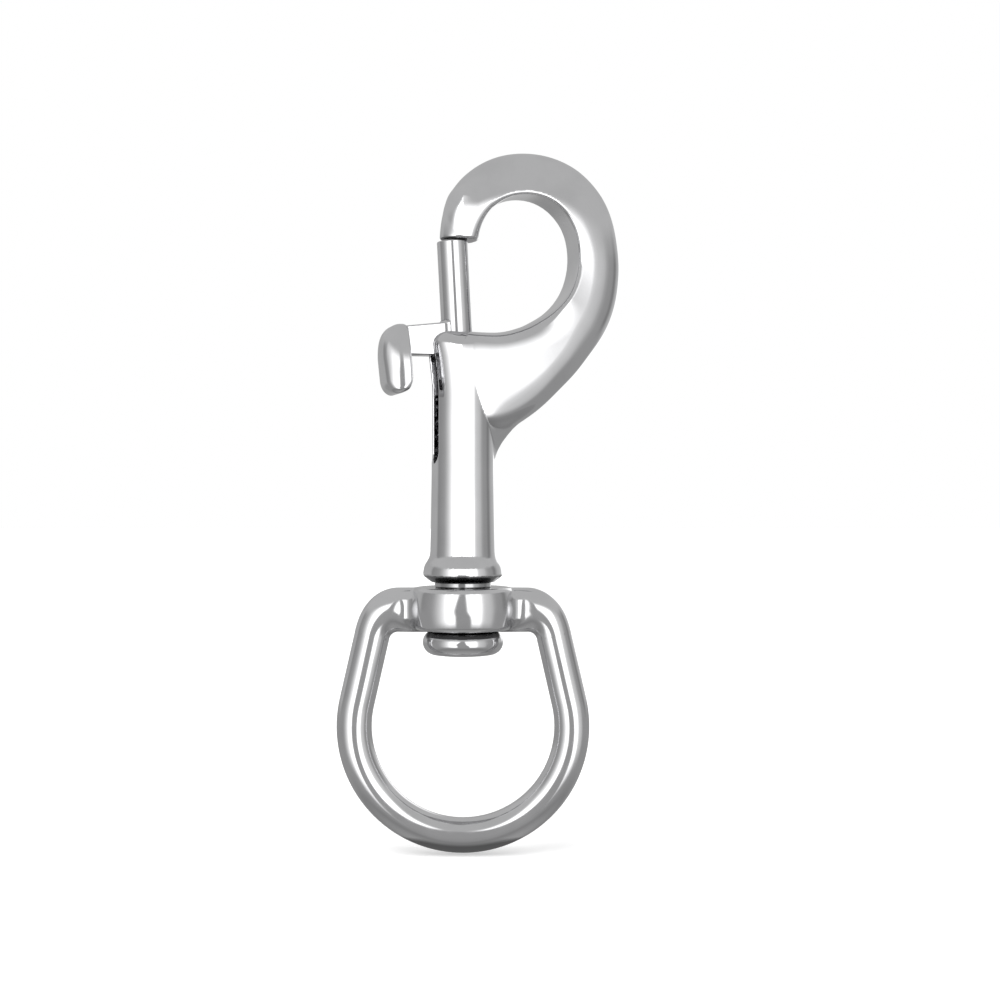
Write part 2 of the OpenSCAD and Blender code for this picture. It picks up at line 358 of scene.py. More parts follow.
def blade_half(x):
    """Half thickness of the blade: level with the barrel's front, then thinning away from it."""
    start = math.sqrt(BARREL_R ** 2 - BLADE_ROOT ** 2)
    flat = start - BLADE_TAPER * (x - BLADE_ROOT)
    curved = np.sqrt(np.maximum(BARREL_R ** 2 - x * x, 0.5))
    return np.where(x > BLADE_ROOT, flat, curved)


def hook_field(p):
    """Hook and blade round the middle of the hook's eye, with a round boss above the bolt."""
    ring, angle = round_hook(p)
    r_in, r_out, half, crease, inner, outer, square = [
        np.interp(angle, HOOK_ANGLES, column) for column in HOOK_COLUMNS]
    blade = step_between((BLADE_FROM - angle) / BLADE_FADE)
    half = half + blade * (blade_half(p[:, 0]) - half) - floor_drop(p)
    into = r_in + inner - ring
    away = ring - r_out + outer
    drop = INNER_DROP * np.minimum(1.0, inner / INNER_FULL)
    into_oval = oval(np.maximum(into, 0), p[:, 1], inner / drop, half, square)
    away_oval = oval(np.maximum(away, 0), p[:, 1], outer, half, square)
    body = round_max(np.maximum(into_oval, away_oval), r_in - ring, crease)
    end = (HOOK_END - angle) * math.pi / 180.0 * ring
    body = np.maximum(body, end)
    boss = length(p[:, 0] - NOSE_MIDDLE, p[:, 1]) - NOSE_BOSS_R
    boss = round_max(boss, ring - r_out, NOSE_BOSS_EDGE)
    boss = round_max(boss, bar(p[:, 2], NOSE_BOSS_FOOT, NOSE_BOSS_TOP), NOSE_BOSS_ROUND)
    high = step_between((p[:, 2] - NOSE_FILLET_Z) / NOSE_FILLET_SPAN)
    return soft_min(body, boss, LEAST_FILLET + NOSE_BOSS_FILLET * high)


def barrel_field(p):
    """Round column with a foot like a bell, widening at its top towards the leaning bore."""
    z = p[:, 2]
    widen = WIDEN * step_between((z - WIDEN_Z) / WIDEN_SPAN)
    radius = length(p[:, 0] - np.clip(p[:, 0], -widen, 0.0), p[:, 1])
    blade_side = step_between((radius + p[:, 0]) / radius / BLADE_SIDE_FADE)
    side = lathe_field(radius, z - BELL_FOOT, BELL_HEIGHTS, BELL_RADII)
    return round_max(side + blade_side * floor_drop(p), BELL_FOOT - z, BELL_EDGE)


def body_field(world):
    """The snap's one casting: barrel, blade and hook, with its mouth, bore and slot cut out."""
    p = to_hook(world)
    b = hook_to_bore(p)
    z = p[:, 2]
    column = round_max(barrel_field(p), z - BARREL_TOP, TOP_ROUND)
    low = step_between((CROTCH_TOP - z) / CROTCH_RISE)
    middle = step_between((CROTCH_HALF - np.abs(p[:, 1])) / CROTCH_FADE)
    crotch = middle * step_between(p[:, 0] / CROTCH_SIDE)
    solid = soft_min(column, hook_field(p), LEAST_FILLET + low * CROTCH_FILLET * crotch)
    gap = np.maximum(bar(z, MOUTH_Z, NOSE_Z), p[:, 0] - NOSE_X)
    solid = round_max(solid, -gap, NOSE_ROUND)
    bore = np.maximum(length(b[:, 0], b[:, 1]) - BORE_R, bar(z, CHAMBER_FOOT, OPENING_TOP))
    drop = np.minimum(b[:, 2] - SLOT_FOOT, 0.0)
    slot = np.maximum(length(b[:, 1], drop) - SLOT_HALF, np.maximum(b[:, 0], z - OPENING_TOP))
    opening = np.minimum(bore, slot)
    return round_max(solid, -opening, OPENING_EDGE)


def hub_share(p):
    """Height in the hub: -1 at its foot and 1 at its top."""
    return (p[:, 2] - (HUB_FOOT + HUB_TOP) / 2) / (HUB_TOP - HUB_FOOT) * 2


def hub_field(p):
    up = hub_share(p)
    side = length(p[:, 0], p[:, 1]) - HUB_R + HUB_BELLY * up * up
    flat = bar(p[:, 2], HUB_FOOT, HUB_TOP)
    return round_max(side, flat, HUB_EDGE)


def eye_wire_field(p):
    """Round bow and leaning legs, each turning in through a shoulder to an arm."""
    x = np.abs(p[:, 0])
    y, z = p[:, 1], p[:, 2]
    c, s = math.cos(LEG_LEAN), math.sin(LEG_LEAN)
    bow = length(length(x, z) - BOW_R, y) - WIRE_R
    across = x * c + z * s - BOW_R
    leg = length(across, y) - WIRE_R
    field = np.where(z * c - x * s > 0, leg, bow)
    sx, sz = x - SHOULDER_X, z - SHOULDER_Z
    turn = np.degrees(np.arctan2(sz, sx))
    t = step_between((turn - math.degrees(LEG_LEAN)) / (90.0 - math.degrees(LEG_LEAN)))
    radius = np.where(sx > 0, length(sx, sz), sz)
    t = np.where(sx > 0, t, 1.0)
    r_out = 2 * WIRE_R + SHOULDER_IN + t * (ARM_TOP - SHOULDER_Z - 2 * WIRE_R - SHOULDER_IN)
    thin = step_between((ARM_THIN_X - x) / ARM_THIN_SPAN)
    depth = WIRE_R - ARM_THIN * thin
    square = 2.0 + ARM_SQUARE * thin * step_between(1.5 * t)
    arm = oval(radius - (r_out + SHOULDER_IN) / 2, y, (r_out - SHOULDER_IN) / 2, depth, square)
    return np.where(sz * c - sx * s > 0, arm, field)


def eye_field(p):
    """The eye's one forging; the fillet at the hub fades out towards the hub's rims."""
    inside = step_between((1.0 - np.abs(hub_share(p))) / ARM_FILLET_SPAN)
    solid = soft_min(eye_wire_field(p), hub_field(p), ARM_FILLET_LEAST + ARM_FILLET * inside)
    bore = np.maximum(length(p[:, 0], p[:, 1]) - HUB_BORE_R, BOW_GAP_Z - p[:, 2])
    return round_max(solid, -bore, HUB_ROUND)


def lever_field(world):
    """Thumb tab with a round outer face, on a flat neck that flares where it meets the bolt."""
    b = hook_to_bore(to_hook(world))
    x, y, z = b.T
    bolt = length(x, y) - BOLT_R
    half = np.maximum(TAB_R - TAB_DRAW * np.maximum(z - TAB_WAIST, 0.0) ** 2, TAB_HALF_LEAST)
    plan = oval(x - TAB_X, y, TAB_R + TAB_FACE_OUT, half, 2.0)
    plan = round_max(plan, x - TAB_X - TAB_FLAT, TAB_FACE_ROUND)
    side_x = x - (TAB_X - TAB_R)
    up = z - TAB_TOP
    corner = oval(np.minimum(side_x - CORNER_X, 0), np.maximum(up + CORNER_Z, 0),
                  CORNER_X, CORNER_Z, 2.0)
    straight = np.maximum(-side_x, up)
    side = np.where((side_x < CORNER_X) & (up > -CORNER_Z), corner, straight)
    side = side + TAB_FOOT_DRAW * np.maximum(TAB_FOOT + TAB_FOOT_RISE - z, 0.0)
    side = round_max(side, TAB_FOOT - z, TAB_FOOT_ROUND)
    right = x - TAB_X - TAB_FLAT
    toe = (TOE_UP * right - TOE_IN * (z - TAB_FOOT - TOE_UP)) / math.hypot(TOE_UP, TOE_IN)
    side = round_max(side, toe, TOE_ROUND)
    tab = round_max(plan, side, TAB_EDGE)
    top = NECK_TOP - NECK_TOP_DROP + NECK_TOP_SLOPE * (x + BOLT_R)
    foot = NECK_FOOT - NECK_FOOT_SLOPE * (x - NECK_LEVEL_X)
    cross = round_max(np.abs(y) - NECK_HALF, np.maximum(z - top, foot - z), NECK_EDGE)
    neck = np.maximum(cross, bar(x, TAB_X, NECK_END_X))
    neck = np.maximum(round_min(neck, bolt, NECK_FLARE), BOLT_CLEAR - bolt)
    neck = np.maximum(neck, bar(z, NECK_FOOT - NECK_FLARE_REACH, NECK_TOP + NECK_FLARE_REACH))
    return round_min(tab, neck, TAB_FILLET)


# ---------------------------------------------------------------- meshes

def gradient(field, points, reach=0.02):
    """Slope of the field at the points."""
    slopes = []
    for k in range(3):
        shift = np.zeros(3)
        shift[k] = reach
        slopes.append((field(points + shift) - field(points - shift)) / (2 * reach))
    return np.stack(slopes, axis=1)


def onto_surface(field, points, steps, most):
    """Draws the points onto the surface, moving each at most so far in a step."""
    for _ in range(steps):
        value = field(points)
        slope = gradient(field, points)
        move = -(value / np.maximum((slope ** 2).sum(1), 0.05))[:, None] * slope
        size = np.maximum(np.linalg.norm(move, axis=1, keepdims=True), 1e-9)
        points = points + move * np.minimum(1.0, most / size)
    return points


def cell_points(values, cells, low, step):
    """Mean of the places where the surface crosses each cell's edges."""
    total = np.zeros((len(cells), 3))
    count = np.zeros(len(cells))
    corners = [np.array([a, b, c]) for a in (0, 1) for b in (0, 1) for c in (0, 1)]
    for start in corners:
        for axis in range(3):
            if start[axis]:
                continue
            finish = start.copy()
            finish[axis] = 1
            va = values[tuple((cells + start).T)]
            vb = values[tuple((cells + finish).T)]
            hit = (va < 0) != (vb < 0)
            t = np.where(hit, va / np.where(hit, va - vb, 1.0), 0.0)
            place = cells + start + t[:, None] * (finish - start)
            total += place * hit[:, None]
            count += hit
    return low + step * total / count[:, None]


def cell_faces(inside, index):
    """Four cells round each grid edge that the surface crosses."""
    faces = []
    for axis in range(3):
        near = np.moveaxis(inside, axis, 0)
        ids = np.moveaxis(index, axis, 0)
        cross = near[:-1] != near[1:]
        cross = cross[:, 1:-1, 1:-1]
        i, j, k = np.nonzero(cross)
        j += 1
        k += 1
        quad = np.stack([ids[i, j - 1, k - 1], ids[i, j, k - 1], ids[i, j, k],
                         ids[i, j - 1, k]], axis=1)
        out = near[i, j, k]
        flip = out if axis != 1 else ~out
        quad[~flip] = quad[~flip][:, ::-1]
        faces.append(quad)
    return np.concatenate(faces)


def relax(points, faces, amount):
    """Moves each point part of the way to the mean of its neighbours."""
    total = np.zeros_like(points)
    count = np.zeros(len(points))
    for a, b in ((0, 1), (1, 2), (2, 3), (3, 0)):
        np.add.at(total, faces[:, a], points[faces[:, b]])
        np.add.at(total, faces[:, b], points[faces[:, a]])
        np.add.at(count, faces[:, a], 1)
        np.add.at(count, faces[:, b], 1)
    return points + amount * (total / np.maximum(count, 1)[:, None] - points)


GRID_PARTS = 24         # to save memory


def surface_mesh(field, low, high, step):
    """Mesh of the field's surface inside a box, with its points drawn onto the surface."""
    low = np.array(low, float)
    size = np.ceil((np.array(high, float) - low) / step).astype(int) + 1
    axes = [low[k] + step * np.arange(size[k]) for k in range(3)]
    grid = np.stack(np.meshgrid(*axes, indexing="ij"), axis=-1).reshape(-1, 3)
    values = np.concatenate([field(part) for part in np.array_split(grid, GRID_PARTS)]).reshape(size)
    inside = values < 0
    corner_sum = np.zeros(size - 1, int)
    for a in (0, 1):
        for b in (0, 1):
            for c in (0, 1):
                corner_sum += inside[a:size[0] - 1 + a, b:size[1] - 1 + b, c:size[2] - 1 + c]
    active = (corner_sum > 0) & (corner_sum < 8)
    index = np.full(active.shape, -1)
    cells = np.argwhere(active)
    index[active] = np.arange(len(cells))
    points = cell_points(values, cells, low, step)
    faces = cell_faces(inside, index)
    points = onto_surface(field, points, 3, step)
    for _ in range(3):
        points = relax(points, faces, 0.5)
        points = onto_surface(field, points, 3, step)
    normals = gradient(field, points)
    normals /= np.maximum(np.linalg.norm(normals, axis=1, keepdims=True), 1e-9)
    return points, faces, normals


def build(name, points, faces, normals):
    """Object with its own normals, from numpy arrays in millimetres."""
    mesh = bpy.data.meshes.new(name)
    sides = faces.shape[1]
    mesh.vertices.add(len(points))
    mesh.vertices.foreach_set("co", (np.asarray(points) * MM).ravel())
    mesh.loops.add(faces.size)
    mesh.loops.foreach_set("vertex_index", faces.ravel().astype(np.int32))
    mesh.polygons.add(len(faces))
    mesh.polygons.foreach_set("loop_start", np.arange(0, faces.size, sides, dtype=np.int32))
    mesh.polygons.foreach_set("use_smooth", np.ones(len(faces), bool))
    mesh.update(calc_edges=True)
    mesh.validate()
    mesh.normals_split_custom_set_from_vertices([tuple(n) for n in normals])
    obj = bpy.data.objects.new(name, mesh)
    bpy.context.scene.collection.objects.link(obj)
    return obj


ROUND_STEPS = 7


def rounded_profile(corners):
    """Points and normals along a profile of (radius, height, rounding) corners."""
    spots, normals = [], []
    plain = [np.array(c[:2], float) for c in corners]
    for k, corner in enumerate(corners):
        here = plain[k]
        into = here - plain[k - 1] if k else None
        away = plain[k + 1] - here if k + 1 < len(corners) else None
        if into is None or away is None:
            way = away if into is None else into
            way = way / np.linalg.norm(way)
            spots.append(here)
            normals.append(np.array([way[1], -way[0]]))
            continue
        into, away = into / np.linalg.norm(into), away / np.linalg.norm(away)
        bend = math.atan2(into[0] * away[1] - into[1] * away[0], float(into @ away))
        radius = max(corner[2], 0.01)
        reach = radius * math.tan(abs(bend) / 2)
        n_in = np.array([into[1], -into[0]])
        side = 1.0 if bend > 0 else -1.0
        centre = here - into * reach - n_in * radius * side
        for i in range(ROUND_STEPS + 1):
            a = bend * i / ROUND_STEPS
            c, s = math.cos(a), math.sin(a)
            n = np.array([c * n_in[0] - s * n_in[1], s * n_in[0] + c * n_in[1]])
            spots.append(centre + n * radius * side)
            normals.append(n)
    return np.array(spots), np.array(normals)


def turned(corners, sides=128):
    """Turned part about the z axis; corners run up the outside."""
    spots, flat = rounded_profile(corners)
    around = 2 * math.pi * np.arange(sides) / sides
    c, s = np.cos(around), np.sin(around)
    points = np.stack([np.outer(spots[:, 0], c), np.outer(spots[:, 0], s),
                       np.repeat(spots[:, 1:2], sides, axis=1)], axis=-1)
    normals = np.stack([np.outer(flat[:, 0], c), np.outer(flat[:, 0], s),
                        np.repeat(flat[:, 1:2], sides, axis=1)], axis=-1)
    faces = []
    ring = np.arange(sides)
    following = (ring + 1) % sides
    for a in range(0, (len(spots) - 1) * sides, sides):
        b = a + sides
        faces.append(np.stack([a + ring, a + following, b + following, b + ring], axis=1))
    return points.reshape(-1, 3), np.concatenate(faces), normals.reshape(-1, 3)


def place_bore(points, normals):
    """From the bore's frame to the world."""
    moved = from_hook(bore_to_hook(points))
    origin = from_hook(bore_to_hook(np.zeros((1, 3))))
    return moved, from_hook(bore_to_hook(normals)) - origin


# ---------------------------------------------------------------- pieces

EYE_ROOM = 0.6          # between a piece and the box that it is meshed in
BODY_ROOM_LOW = 1.5
BODY_ROOM_HIGH = 1.2
LEVER_LOW = (-13.2, -7.4, 46.2)     # the lever leans and is turned, so its box is given
LEVER_HIGH = (0.4, 3.4, 58.6)


def make_eye():
    low = EYE_LOW - EYE_ROOM
    high = EYE_HIGH + EYE_ROOM
    step = 0.2
    return build("eye_body", *surface_mesh(eye_field, low, high, step))


def make_body():
    low = BODY_LOW - BODY_ROOM_LOW
    high = BODY_HIGH + BODY_ROOM_HIGH
    step = 0.22
    return build("hook_body", *surface_mesh(body_field, low, high, step))


def make_stud():
    low, top = STUD_LOW[2], HUB_FOOT - 0.05
    corners = [(AXIS_R, low - STUD_DOME, 0), (STUD_FACE_R, low, 4.0),
               (STUD_R, low + STUD_RIM, STUD_ROUND), (STUD_R, top, STUD_TOP_ROUND),
               (STUD_SHANK_R, top, 0.02), (STUD_SHANK_R, STUD_HIGH[2], 0.2),
               (AXIS_R, STUD_HIGH[2], 0)]
    return build("stud_body", *turned(corners))


def make_washer():
    low, high = WASHER_LOW[2], WASHER_HIGH[2]
    seam = (WASHER_BORE_R, (low + high) / 2, 0)
    corners = [seam, (WASHER_BORE_R, low, 0.06), (WASHER_R, low, 0.12), (WASHER_R, high, 0.12),
               (WASHER_BORE_R, high, 0.06), seam]
    return build("washer_ring", *turned(corners))


def make_bolt():
    corners = [(AXIS_R, BOLT_FOOT - GUIDE_L, 0), (GUIDE_R, BOLT_FOOT - GUIDE_L, 0.25),
               (GUIDE_R, BOLT_FOOT, 0.05), (BOLT_R, BOLT_FOOT, 0.2), (BOLT_R, BOLT_TIP, 0.16),
               (AXIS_R, BOLT_TIP, 0)]
    points, faces, normals = turned(corners)
    points, normals = place_bore(points, normals)
    return build("bolt_body", points, faces, normals)


def make_lever():
    step = 0.11
    return build("lever_body", *surface_mesh(lever_field, LEVER_LOW, LEVER_HIGH, step))


def spring_seat():
    """Where the spring stands, along the bore from its pivot."""
    return (CHAMBER_FOOT - PIVOT_Z) / math.cos(LEAN) + SPRING_FOOT_GAP


def spring_height(turns):
    """Height of the wire's middle after some turns; the first and last turns are closed."""
    low, high = spring_seat() + SPRING_FOOT_RISE, BOLT_FOOT - SPRING_WIRE_R - SPRING_TOP_GAP
    closed = CLOSED_PITCH * 2 * SPRING_WIRE_R
    heights = [low, low + closed, high - closed, high]
    return np.interp(turns, [0, 1, SPRING_TURNS - 1, SPRING_TURNS], heights)


def make_spring():
    """Round wire swept along a coil."""
    around, sides = 36, 12
    turns = np.arange(SPRING_TURNS * around + 1) / around
    angle = 2 * math.pi * turns
    out = np.stack([np.cos(angle), np.sin(angle), 0 * angle], axis=1)
    middle = SPRING_R * out
    middle[:, 2] = spring_height(turns)
    up = np.array([0.0, 0.0, 1.0])
    rim = 2 * math.pi * np.arange(sides) / sides
    normals = out[:, None] * np.cos(rim)[None, :, None] + up * np.sin(rim)[None, :, None]
    points = middle[:, None] + SPRING_WIRE_R * normals
    ring = np.arange(sides)
    following = (ring + 1) % sides
    faces = np.concatenate([
        np.stack([k * sides + ring, (k + 1) * sides + ring, (k + 1) * sides + following,
                  k * sides + following], axis=1)
        for k in range(len(turns) - 1)])
    points, normals = place_bore(points.reshape(-1, 3), normals.reshape(-1, 3))
    return build("spring_coil", points, faces, normals)


# ---------------------------------------------------------------- materials

# How far the painted shade in recesses reaches
PAINTED_SHADE_REACH = 0.0028
# Painted shade in recesses and on undersides: where each ramp starts and ends, and its levels there when
# they aren't 0 and 1
DOWN_FACING_SHADE = (-0.2, -0.55)
SIDE_PAINTED_SHADE = (0.15, 0.8, 0.5, 1.0)
UNDER_PAINTED_SHADE = (0.78, 1.0, 0.27, 1.0)

PALE_TINT = [0.80, 0.80, 0.81, 1.0]
TURNED_TINT = [0.78, 0.78, 0.79, 1.0]
# The spring wire's tint is dark: painted shade, for the shade inside the bore where the spring sits
SHADED_WIRE_TINT = [0.30, 0.30, 0.31, 1.0]
CLOUD_DARK = 0.93
EVEN_SCRATCHES = (900, 900, 900)
RING_SCRATCHES = (300, 300, 5200)
WIRE_SCRATCHES = (1500, 1500, 1500)
# Scale and detail of each kind of unevenness
CLOUD = (160.0, 4.0)
HAZE = (420.0, 5.0)
WAVE = (90.0, 2.0)
SCRATCH = (1.0, 4.0)


class Nodes:
    """Small helper to write a node tree."""

    def __init__(self, tree):
        self.tree = tree

    def add(self, kind, **settings):
        node = self.tree.nodes.new(kind)
        for key, value in settings.items():
            setattr(node, key, value)
        return node

    def link(self, a, b):
        self.tree.links.new(a, b)

    def math(self, operation, a, b=None, clamp=False):
        node = self.add("ShaderNodeMath", operation=operation, use_clamp=clamp)
        for k, value in enumerate((a, b)):
            if value is None:
                continue
            if isinstance(value, (int, float)):
                node.inputs[k].default_value = value
            else:
                self.link(value, node.inputs[k])
        return node.outputs[0]

    def ramp(self, value, low, high, start=0.0, finish=1.0):
        node = self.add("ShaderNodeMapRange", interpolation_type="SMOOTHSTEP")
        self.link(value, node.inputs["Value"])
        node.inputs["From Min"].default_value = low
        node.inputs["From Max"].default_value = high
        node.inputs["To Min"].default_value = start
        node.inputs["To Max"].default_value = finish
        return node.outputs[0]

    def curve(self, value, stops, low, high):
        """Straight-line curve through (value, level) stops."""
        node = self.add("ShaderNodeFloatCurve")
        bottom = min(level for _, level in stops)
        top = max(level for _, level in stops)
        share = self.math("DIVIDE", self.math("SUBTRACT", value, low), high - low, clamp=True)
        self.link(share, node.inputs["Value"])
        points = node.mapping.curves[0].points
        for k, (at, level) in enumerate(stops):
            spot = ((at - low) / (high - low), (level - bottom) / (top - bottom))
            point = points[k] if k < 2 else points.new(*spot)
            point.location = spot
            point.handle_type = "VECTOR"
        node.mapping.update()
        return self.math("ADD", self.math("MULTIPLY", node.outputs[0], top - bottom), bottom)

    def blend(self, factor, a, b):
        node = self.add("ShaderNodeMix", data_type="FLOAT")
        for socket, value in zip(node.inputs[0:1] + node.inputs[2:4], (factor, a, b)):
            if isinstance(value, (int, float)):
                socket.default_value = value
            else:
                self.link(value, socket)
        return node.outputs[0]

    def noise(self, vector, scale, detail=3.0, stretch=None):
        if stretch:
            mapping = self.add("ShaderNodeMapping")
            mapping.inputs["Scale"].default_value = stretch
            self.link(vector, mapping.inputs["Vector"])
            vector = mapping.outputs[0]
        node = self.add("ShaderNodeTexNoise")
        node.inputs["Scale"].default_value = scale
        node.inputs["Detail"].default_value = detail
        self.link(vector, node.inputs["Vector"])
        return node.outputs["Fac"]

    def painted_recess_shade(self, color):
        """Painted shade: darkens the colour in narrow recesses, and on undersides most of all."""
        occlusion_node = self.add("ShaderNodeAmbientOcclusion", samples=8)
        occlusion_node.inputs["Distance"].default_value = PAINTED_SHADE_REACH
        node = self.add("ShaderNodeMix", data_type="RGBA", blend_type="MULTIPLY")
        node.inputs["Factor"].default_value = 1.0
        self.link(color, node.inputs[6])
        facing = self.add("ShaderNodeSeparateXYZ")
        self.link(self.add("ShaderNodeTexCoord").outputs["Normal"], facing.inputs[0])
        under = self.ramp(facing.outputs[2], *DOWN_FACING_SHADE)
        side_shade = self.ramp(occlusion_node.outputs["AO"], *SIDE_PAINTED_SHADE)
        under_shade = self.ramp(occlusion_node.outputs["AO"], *UNDER_PAINTED_SHADE)
        self.link(self.blend(under, side_shade, under_shade), node.inputs[7])
        return node.outputs[2]

    def mix_color(self, factor, a, b):
        node = self.add("ShaderNodeMix", data_type="RGBA")
        self.link(factor, node.inputs["Factor"])
        node.inputs[6].default_value = a
        node.inputs[7].default_value = b
        return node.outputs[2]


def steel(name, tint, smooth, scratch_stretch, scratch_depth, wave_depth):
    """Stainless steel: faint waviness, fine scratches, a slightly uneven polish, and painted shade in
    recesses and on undersides.
    """
    mat = bpy.data.materials.new(name)
    mat.use_nodes = True
    nodes = Nodes(mat.node_tree)
    shader = mat.node_tree.nodes["Principled BSDF"]
    shader.inputs["Metallic"].default_value = 1.0
    place = nodes.add("ShaderNodeTexCoord").outputs["Object"]
    cloud = nodes.noise(place, *CLOUD)
    dark = [CLOUD_DARK * c for c in tint[:3]] + [1.0]
    shade = nodes.mix_color(nodes.ramp(cloud, 0.35, 0.7), dark, tint)
    # painted shade in recesses and on undersides, multiplied into the colour
    nodes.link(nodes.painted_recess_shade(shade), shader.inputs["Base Color"])
    haze = nodes.noise(place, *HAZE)
    rough = nodes.ramp(haze, 0.3, 0.75, smooth[0], smooth[1])
    nodes.link(rough, shader.inputs["Roughness"])
    wave = nodes.noise(place, *WAVE)
    scratch = nodes.noise(place, *SCRATCH, scratch_stretch)
    bump = nodes.add("ShaderNodeBump")
    bump.inputs["Strength"].default_value = 1.0
    bump.inputs["Distance"].default_value = 1.0
    height = nodes.math("ADD", nodes.math("MULTIPLY", wave, wave_depth),
                        nodes.math("MULTIPLY", scratch, scratch_depth))
    nodes.link(height, bump.inputs["Height"])
    nodes.link(bump.outputs[0], shader.inputs["Normal"])
    return mat


# ---------------------------------------------------------------- stage

# Brightness of the tent's wall, by degrees round from the camera's side (plus is to its right)
WALL_LIGHT = [
    (-180, 0.45), (-160, 0.42), (-138, 0.45), (-110, 0.47), (-103, 0.42), (-98, 0.29), (-85, 0.32),
    (-72, 0.37), (-66, 0.43), (-60, 0.54), (-51, 0.78), (-43, 1.10), (-37, 1.45), (-30, 1.8),
    (38, 1.8), (42, 1.4), (46, 0.88), (52, 0.73), (60, 0.66), (67, 0.58), (73, 0.44), (80, 0.36),
    (95, 0.33), (101, 0.25), (107, 0.25), (113, 0.36), (120, 0.47), (135, 0.55), (145, 0.6),
    (152, 1.3), (168, 1.3), (174, 0.5), (180, 0.45)]
OVERHEAD = 0.52
# Brightness of the room, by degrees above the horizon
ROOM_LIGHT = [(-90, 0.42), (-65, 0.36), (-42, 0.26), (-25, 0.36), (0, 0.4), (20, OVERHEAD),
              (90, OVERHEAD)]
# Edges of the grey gap in the tent's front light: height in millimetres, and degrees round
GAP_LEFT = [(-60, -15), (-35, -15), (0, -18), (98, -9), (140, -6)]
GAP_RIGHT = [(-60, 20), (-35, 18), (0, 11), (98, 8), (140, 7)]
GAP_SPAN = (-60.0, 140.0)
GAP_SOFT = (-3.0, 3.0)
GAP_LIGHT = 0.37
LOW_LIGHT = 0.34
SIDE_FADE = (66.0, 84.0)        # degrees round, where the sides begin
SIDE_FALL = (20.0, -20.0)       # millimetres, where the sides grow dim
HIGH_FADE = (100.0, 172.0)      # millimetres, where the wall turns into the overhead light
FOOT_FADE = (-60.0, -130.0)     # millimetres, where all of the wall grows dim
TENT_R = 0.25
TENT_LOW = -0.13
TENT_HIGH = 0.175
TENT_SIDES = 180
CARD_WIDTH = 0.19
CARD_HEIGHT = 0.1215
CARD_LIGHT = 1.8
CARD_PLACE = (-0.035, -0.235, 0.08225)
FLOOR_HALF = 2.5
FLOOR_DEPTH = 0.0002            # below the model
FLOOR_PAINT = (0.92, 0.92, 0.92, 1.0)
FLOOR_GLOW = 0.5
WHITE = (1.0, 1.0, 1.0, 1.0)
DEGREES = 57.29578              # in one radian
CAMERA_PLACE = (5.27 * MM, -221.5 * MM, 32.2 * MM)


def make_world():
    """Grey room: pale overhead, darker low down. The camera itself sees plain white."""
    world = bpy.data.worlds.new("room")
    bpy.context.scene.world = world
    world.use_nodes = True
    nodes = Nodes(world.node_tree)
    way = nodes.add("ShaderNodeSeparateXYZ")
    nodes.link(nodes.add("ShaderNodeTexCoord").outputs["Generated"], way.inputs[0])
    rise = nodes.math("MULTIPLY", nodes.math("ARCSINE", way.outputs[2]), DEGREES)
    light = nodes.curve(rise, ROOM_LIGHT, -90.0, 90.0)
    background = world.node_tree.nodes["Background"]
    nodes.link(light, background.inputs["Color"])
    seen = nodes.add("ShaderNodeBackground")
    seen.inputs["Color"].default_value = WHITE
    mix = nodes.add("ShaderNodeMixShader")
    nodes.link(nodes.add("ShaderNodeLightPath").outputs["Is Camera Ray"], mix.inputs[0])
    nodes.link(background.outputs[0], mix.inputs[1])
    nodes.link(seen.outputs[0], mix.inputs[2])
    nodes.link(mix.outputs[0], world.node_tree.nodes["World Output"].inputs["Surface"])


def tent_material():
    """Two broad soft lights in front with a grey gap between them, and a narrower one behind."""
    mat = bpy.data.materials.new("tent_wall")
    mat.use_nodes = True
    tree = mat.node_tree
    tree.nodes.remove(tree.nodes["Principled BSDF"])
    nodes = Nodes(tree)
    place = nodes.add("ShaderNodeSeparateXYZ")
    nodes.link(nodes.add("ShaderNodeTexCoord").outputs["Object"], place.inputs[0])
    x, y, z = place.outputs
    turn = nodes.math("ARCTAN2", x, nodes.math("MULTIPLY", y, -1.0))
    azimuth = nodes.math("MULTIPLY", turn, DEGREES)
    wall = nodes.curve(azimuth, WALL_LIGHT, -180.0, 180.0)
    height = nodes.math("MULTIPLY", z, 1.0 / MM)
    past_left, past_right = [
        nodes.ramp(nodes.math("SUBTRACT", azimuth, nodes.curve(height, edge, *GAP_SPAN)), *GAP_SOFT)
        for edge in (GAP_LEFT, GAP_RIGHT)]
    gap = nodes.math("MULTIPLY", past_left, nodes.math("SUBTRACT", 1.0, past_right))
    lit = nodes.blend(gap, wall, GAP_LIGHT)
    beside = nodes.ramp(nodes.math("ABSOLUTE", azimuth), *SIDE_FADE)
    low_side = nodes.math("MULTIPLY", beside, nodes.ramp(height, *SIDE_FALL))
    lit = nodes.blend(low_side, lit, LOW_LIGHT)
    lit = nodes.blend(nodes.ramp(height, *HIGH_FADE), lit, OVERHEAD)
    lit = nodes.blend(nodes.ramp(height, *FOOT_FADE), lit, LOW_LIGHT)
    shine = nodes.add("ShaderNodeEmission")
    nodes.link(lit, shine.inputs["Color"])
    nodes.link(shine.outputs[0], tree.nodes["Material Output"].inputs["Surface"])
    return mat


